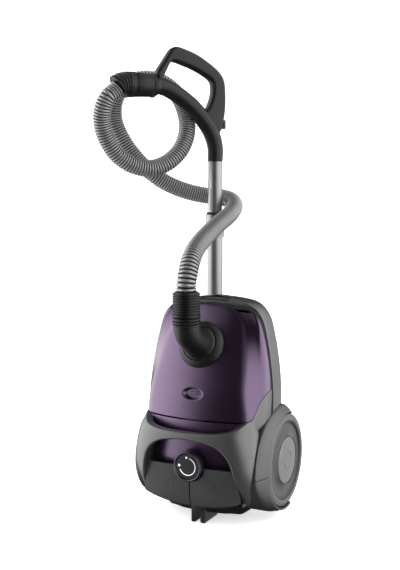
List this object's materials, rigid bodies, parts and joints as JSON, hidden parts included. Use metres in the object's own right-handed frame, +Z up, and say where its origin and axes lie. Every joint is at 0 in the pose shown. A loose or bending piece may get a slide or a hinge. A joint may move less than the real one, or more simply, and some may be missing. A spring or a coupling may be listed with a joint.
{
  "type": "canister vacuum cleaner",
  "caption": "Bagged canister vacuum cleaner parked upright on its end, with swivelling ribbed hose, loop handle and telescopic wand",
  "frame": {"origin": "centre of the flat rear part of the parking bracket, on the surface that the machine stands on, midway between the wheels", "axes": "+Z up, +X across the machine to its right seen from the lid side, +Y from the lid towards the running side of the wheels"},
  "size_m": [0.4622, 0.3732, 1.019],
  "materials": {
    "lid_gloss": "metallic lacquered gloss",
    "grey_body": "satin moulded",
    "fender_grey": "satin moulded",
    "tread_grey": "matte",
    "black_moulding": "fine matte texture",
    "soft_rubber": "matte",
    "wheel_gloss": "semi gloss",
    "bare_steel": "bright",
    "dark_moulding": "fine satin",
    "knob_gloss": "gloss rim, satin face",
    "bag_paper": "soft paper fleece",
    "filter_foam": "open foam",
    "window_clear": "clear, polished",
    "flag_orange": "plain",
    "black_satin": "satin moulded",
    "hose_grey": "ribbed, silver grey",
    "tube_metal": "satin lacquered grey"
  },
  "bodies": {
    "canister": {"inner_panel": "lid_gloss", "carry_handle": "grey_body", "side_panel_left": "grey_body", "side_panel_right": "grey_body", "base_shell": "grey_body", "fender_left": "fender_grey", "fender_right": "fender_grey", "bottom_cover": "black_moulding", "rear_foot_left": "black_moulding", "rear_foot_right": "black_moulding", "parking_bracket": "black_moulding", "parking_slot": "black_moulding", "parking_hook": "black_moulding", "exhaust_grille": "black_moulding", "lid_hinge_pin": "black_moulding", "lid_gasket": "soft_rubber", "tube_seal": "soft_rubber", "cord_outlet": "soft_rubber", "axle_left": "bare_steel", "axle_right": "bare_steel", "reel_axle": "bare_steel", "motor_housing": "bare_steel", "speed_potentiometer": "dark_moulding", "power_switch": "dark_moulding", "bulkhead": "dark_moulding", "bag_holder": "dark_moulding", "dust_bag": "bag_paper", "pre_motor_filter": "filter_foam", "hose_middle": "hose_grey", "lower_tube": "tube_metal"},
    "lid": {"lid_shell": "lid_gloss", "inlet_collar": "black_satin", "indicator_lens": "window_clear"},
    "latch": {"lid_latch": "dark_moulding"},
    "indicator": {"indicator_flag": "flag_orange"},
    "elbow": {"elbow": "black_satin", "hose_cuff_lower": "black_satin", "hose_lower": "hose_grey"},
    "elbow_release": {"elbow_button": "black_satin"},
    "wand_upper": {"upper_tube": "tube_metal", "handle_tube": "black_satin", "handle_grip": "black_satin", "hose_cuff_upper": "black_satin", "hose_upper": "hose_grey"},
    "sleeve": {"lock_sleeve": "tube_metal"},
    "slider": {"suction_slider": "dark_moulding"},
    "connector": {"handle_connector": "black_satin"},
    "knob": {"speed_knob": "knob_gloss"},
    "power_pedal": {"pedal_power": "dark_moulding"},
    "rewind_pedal": {"pedal_rewind": "dark_moulding"},
    "wheel_left": {"tyre_left": "tread_grey", "wheel_disc_left": "wheel_gloss"},
    "wheel_right": {"tyre_right": "tread_grey", "wheel_disc_right": "wheel_gloss"},
    "caster": {"caster_fork": "dark_moulding", "caster_pin": "bare_steel"},
    "caster_roller": {"caster_wheel": "soft_rubber"},
    "reel": {"cord_reel": "black_satin"},
    "rotor": {"fan_rotor": "bare_steel"}
  },
  "joints": [
    {"name": "lid_hinge", "type": "hinge", "parent": "canister", "child": "lid", "pos_m": [0, -0.076, 0.2302], "axis": [1, 0, 0], "range_deg": [0, 65], "deforming": ["hose_middle"]},
    {"name": "elbow_swivel", "type": "hinge", "parent": "lid", "child": "elbow", "pos_m": [0, -0.027, 0.38], "axis": [0, -0.9205, 0.3907], "range_deg": [-40, 40], "deforming": ["hose_lower"]},
    {"name": "telescope", "type": "slide", "parent": "canister", "child": "wand_upper", "axis": [0, 0, 1], "range_m": [0, 0.3], "deforming": ["hose_upper"]},
    {"name": "connector_swivel", "type": "hinge", "parent": "wand_upper", "child": "connector", "pos_m": [-0.17402, 0.03754, 0.932], "axis": [-0.6115, -0.7912, 0], "continuous": true},
    {"name": "sleeve_release", "type": "slide", "parent": "canister", "child": "sleeve", "axis": [0, 0, -1], "range_m": [0, 0.008], "stiffness_N_per_m": 150, "springref_m": -0.004},
    {"name": "latch_press", "type": "slide", "parent": "canister", "child": "latch", "axis": [0, 0, -1], "range_m": [0, 0.003], "stiffness_N_per_m": 600, "springref_m": -0.002},
    {"name": "flag_slide", "type": "slide", "parent": "lid", "child": "indicator", "axis": [1, 0, 0], "range_m": [0, 0.008]},
    {"name": "elbow_button_press", "type": "slide", "parent": "elbow", "child": "elbow_release", "axis": [-1, 0, 0], "range_m": [0, 0.002], "stiffness_N_per_m": 500, "springref_m": -0.001},
    {"name": "suction_slide", "type": "slide", "parent": "wand_upper", "child": "slider", "axis": [0, 0, 1], "range_m": [0, 0.008]},
    {"name": "knob_turn", "type": "hinge", "parent": "canister", "child": "knob", "pos_m": [0, -0.08, 0.135], "axis": [0, -1, 0], "range_deg": [0, 250]},
    {"name": "power_pedal_press", "type": "hinge", "parent": "canister", "child": "power_pedal", "pos_m": [-0.048, -0.079, 0.128], "axis": [1, 0, 0], "range_deg": [0, 4.5], "stiffness_Nm_per_rad": 6, "springref_deg": -1.15},
    {"name": "rewind_pedal_press", "type": "hinge", "parent": "canister", "child": "rewind_pedal", "pos_m": [0.048, -0.079, 0.128], "axis": [1, 0, 0], "range_deg": [0, 4.5], "stiffness_Nm_per_rad": 6, "springref_deg": -1.15},
    {"name": "wheel_left_spin", "type": "hinge", "parent": "canister", "child": "wheel_left", "pos_m": [-0.14, 0.078, 0.124], "axis": [1, 0, 0], "continuous": true},
    {"name": "wheel_right_spin", "type": "hinge", "parent": "canister", "child": "wheel_right", "pos_m": [0.14, 0.078, 0.124], "axis": [1, 0, 0], "continuous": true},
    {"name": "caster_swivel", "type": "hinge", "parent": "canister", "child": "caster", "pos_m": [0, 0.13, 0.395], "axis": [0, 1, 0], "continuous": true},
    {"name": "caster_roll", "type": "hinge", "parent": "caster", "child": "caster_roller", "pos_m": [0, 0.159, 0.406], "axis": [1, 0, 0], "continuous": true},
    {"name": "reel_spin", "type": "hinge", "parent": "canister", "child": "reel", "pos_m": [0, 0.028, 0.07], "axis": [0, 0, 1], "continuous": true},
    {"name": "fan_spin", "type": "hinge", "parent": "canister", "child": "rotor", "pos_m": [0, 0.035, 0.16], "axis": [0, 0, 1], "continuous": true}
  ]
}
